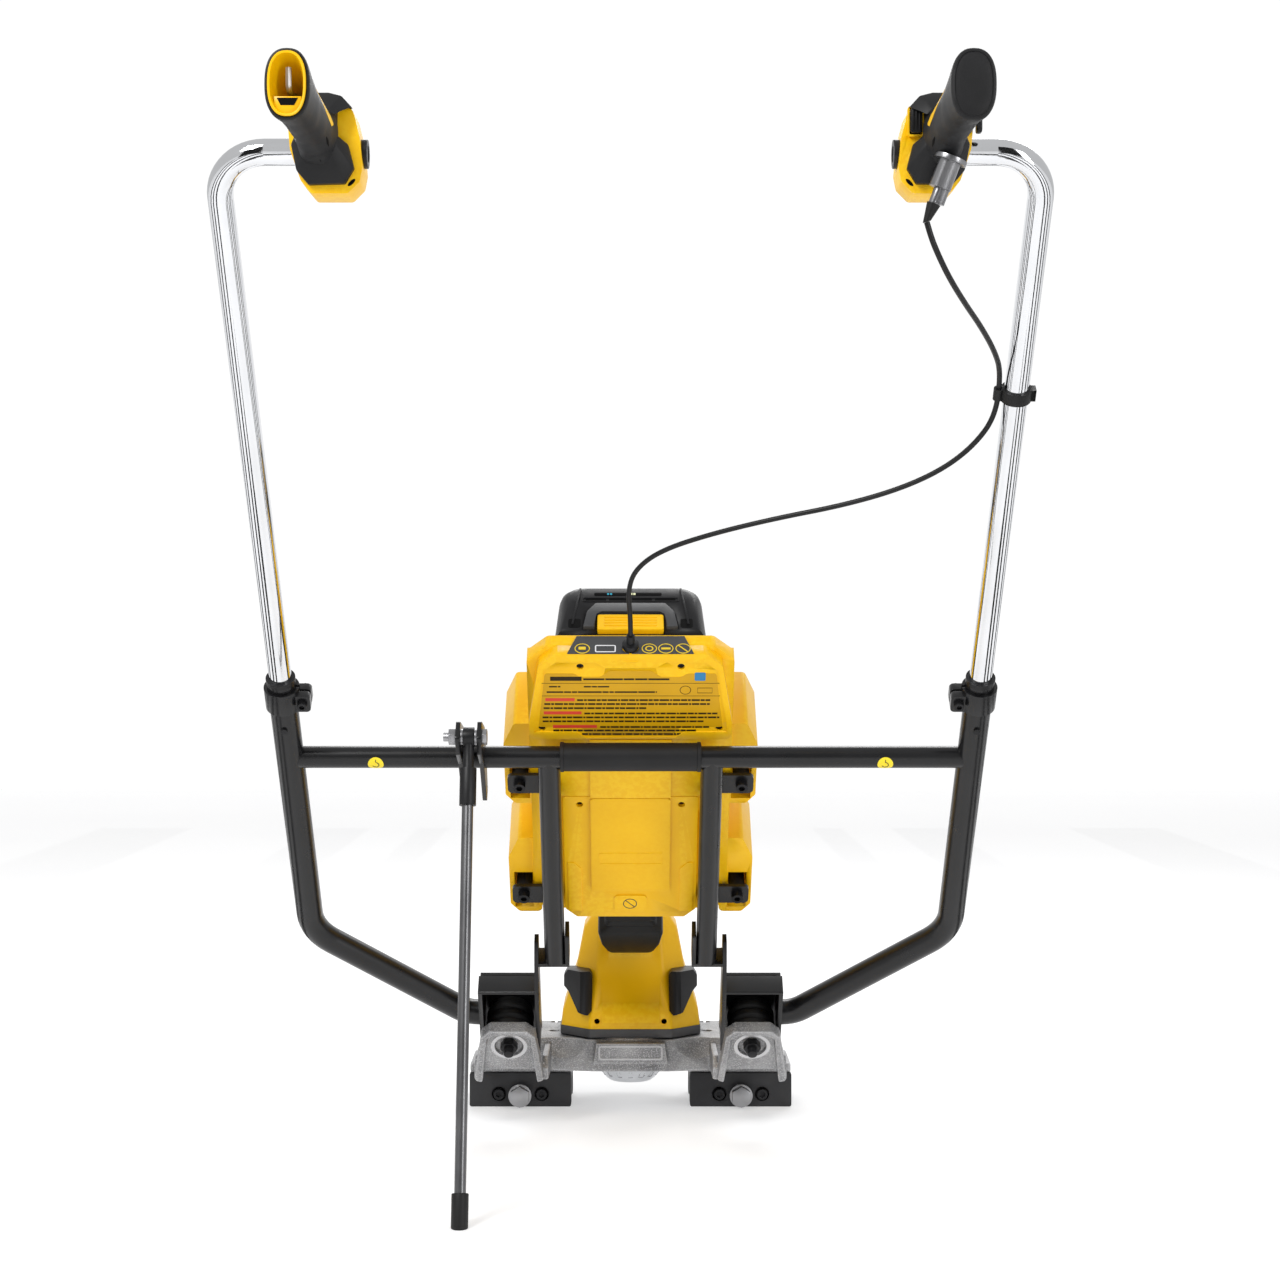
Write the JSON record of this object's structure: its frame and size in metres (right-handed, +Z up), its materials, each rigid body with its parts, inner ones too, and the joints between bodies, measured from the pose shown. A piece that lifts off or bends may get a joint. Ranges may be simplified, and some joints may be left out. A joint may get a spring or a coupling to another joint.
{
  "type": "power screed",
  "caption": "Battery power screed: cast vibrator base with board clamps, leaning tubular frame with telescoping handles, slide-in battery head, switch cable and folding kickstand.",
  "frame": {"origin": "on the ground, under the middle of the machine's box", "axes": "+X to the operator's right, +Y away from the operator towards the screed board, +Z up"},
  "size_m": [0.82, 1.1828, 1.1462],
  "materials": {
    "cast_aluminium": "rough sand-cast, unpainted",
    "dark_anodised": "milled and dark anodised",
    "polished_metal": "turned and polished",
    "black_frame": "gloss black powder coat",
    "chrome_tube": "bright chrome plate",
    "plated_steel": "zinc-plated fasteners and rod",
    "dark_steel": "blackened steel",
    "yellow_plastic": "satin moulded yellow",
    "black_plastic": "satin moulded black",
    "soft_grip": "soft overmould",
    "rubber": "moulded rubber",
    "connector_metal": "brushed connector shell",
    "cable": "satin cable jacket",
    "copper_winding": "enamelled copper",
    "circuit_board": "solder-masked board",
    "cell": "sleeved round cells",
    "amber_liner": "glossy moulded amber",
    "panel_grey": "dark grey panel"
  },
  "bodies": {
    "root": {"adaptor_plate": "cast_aluminium", "base_casting": "cast_aluminium", "battery_terminal": "black_plastic", "bearings": "plated_steel", "bumpers": "black_plastic", "cable_gland": "black_plastic", "cable_lower": "cable", "clamp_blocks": "dark_anodised", "control_board": "circuit_board", "crossbar": "black_frame", "crossbar_grip": "soft_grip", "ear_mounts": "rubber", "frame_brackets": "black_frame", "frame_fasteners": "plated_steel", "head_screws": "dark_steel", "head_shell": "yellow_plastic", "height_collars": "black_frame", "isolators": "rubber", "kickstand_bolt": "plated_steel", "kickstand_plates": "black_frame", "label_cover": "yellow_plastic", "lower_cover": "yellow_plastic", "lower_tubes": "black_frame", "motor_boot": "rubber", "motor_controller": "circuit_board", "motor_housing": "yellow_plastic", "stator": "copper_winding", "struts": "black_frame", "symbol_panel": "panel_grey", "tube_liners": "black_plastic", "vibrator_cap": "polished_metal"},
    "rotor": {"rotor": "dark_steel", "drive_shaft": "plated_steel", "eccentric_weight": "dark_steel"},
    "left_clamp": {"left_clamp_pad": "dark_anodised", "left_clamp_screws": "plated_steel"},
    "right_clamp": {"right_clamp_pad": "dark_anodised", "right_clamp_screws": "plated_steel"},
    "kickstand": {"kickstand_socket": "black_frame", "kickstand_rod": "plated_steel", "kickstand_foot": "rubber"},
    "left_tube": {"left_upper_tube": "chrome_tube"},
    "right_tube": {"right_upper_tube": "chrome_tube", "cable_clip": "rubber", "cable_upper": "cable"},
    "left_handle": {"left_handle_shell": "yellow_plastic", "left_grip": "soft_grip", "left_grip_liner": "amber_liner", "left_handle_cap": "black_plastic"},
    "right_handle": {"right_handle_shell": "yellow_plastic", "right_grip": "soft_grip", "right_handle_cap": "black_plastic", "plug_body": "connector_metal", "cable_boot": "rubber"},
    "hex_key": {"hex_key": "plated_steel"},
    "trigger": {"speed_trigger": "black_plastic"},
    "button": {"power_button": "black_plastic"},
    "battery": {"battery_case": "black_plastic", "battery_cells": "cell"},
    "latch": {"battery_latch": "yellow_plastic"}
  },
  "joints": [
    {"name": "motor_spin", "type": "hinge", "parent": "root", "child": "rotor", "pos_m": [0, 0.49438, 0.15], "axis": [0, 0, 1], "continuous": true},
    {"name": "left_clamp_slide", "type": "slide", "parent": "root", "child": "left_clamp", "axis": [0, 1, 0], "range_m": [0, 0.0115]},
    {"name": "right_clamp_slide", "type": "slide", "parent": "root", "child": "right_clamp", "axis": [0, 1, 0], "range_m": [0, 0.0115]},
    {"name": "kickstand_fold", "type": "hinge", "parent": "root", "child": "kickstand", "pos_m": [-0.181, -0.0396, 0.51395], "axis": [1, 0, 0], "range_deg": [-120, 0]},
    {"name": "left_height", "type": "slide", "parent": "root", "child": "left_tube", "axis": [0, -0.6293, 0.7771], "range_m": [-0.17, 0.08]},
    {"name": "right_height", "type": "slide", "parent": "root", "child": "right_tube", "axis": [0, -0.6293, 0.7771], "range_m": [-0.17, 0.08], "deforming": ["cable_lower"]},
    {"name": "left_handle_tilt", "type": "hinge", "parent": "left_tube", "child": "left_handle", "pos_m": [-0.285, -0.45738, 1.08023], "axis": [1, 0, 0], "range_deg": [-30, 30]},
    {"name": "right_handle_tilt", "type": "hinge", "parent": "right_tube", "child": "right_handle", "pos_m": [0.285, -0.45738, 1.08023], "axis": [1, 0, 0], "range_deg": [-30, 30], "deforming": ["cable_upper"]},
    {"name": "hex_key_slide", "type": "slide", "parent": "left_handle", "child": "hex_key", "axis": [-0.0993, -0.9932, 0.0611], "range_m": [0, 0.07]},
    {"name": "trigger_press", "type": "slide", "parent": "right_handle", "child": "trigger", "axis": [0, 1, 0], "range_m": [0, 0.004], "stiffness_N_per_m": 600, "springref_m": -0.001},
    {"name": "button_press", "type": "slide", "parent": "right_handle", "child": "button", "axis": [-1, 0, 0], "range_m": [0, 0.002], "stiffness_N_per_m": 900, "springref_m": -0.001},
    {"name": "battery_slide", "type": "slide", "parent": "root", "child": "battery", "axis": [0, -0.6293, 0.7771], "range_m": [0, 0.2]},
    {"name": "latch_press", "type": "slide", "parent": "battery", "child": "latch", "axis": [0, 0.6293, -0.7771], "range_m": [0, 0.004], "stiffness_N_per_m": 1000, "springref_m": -0.001}
  ]
}
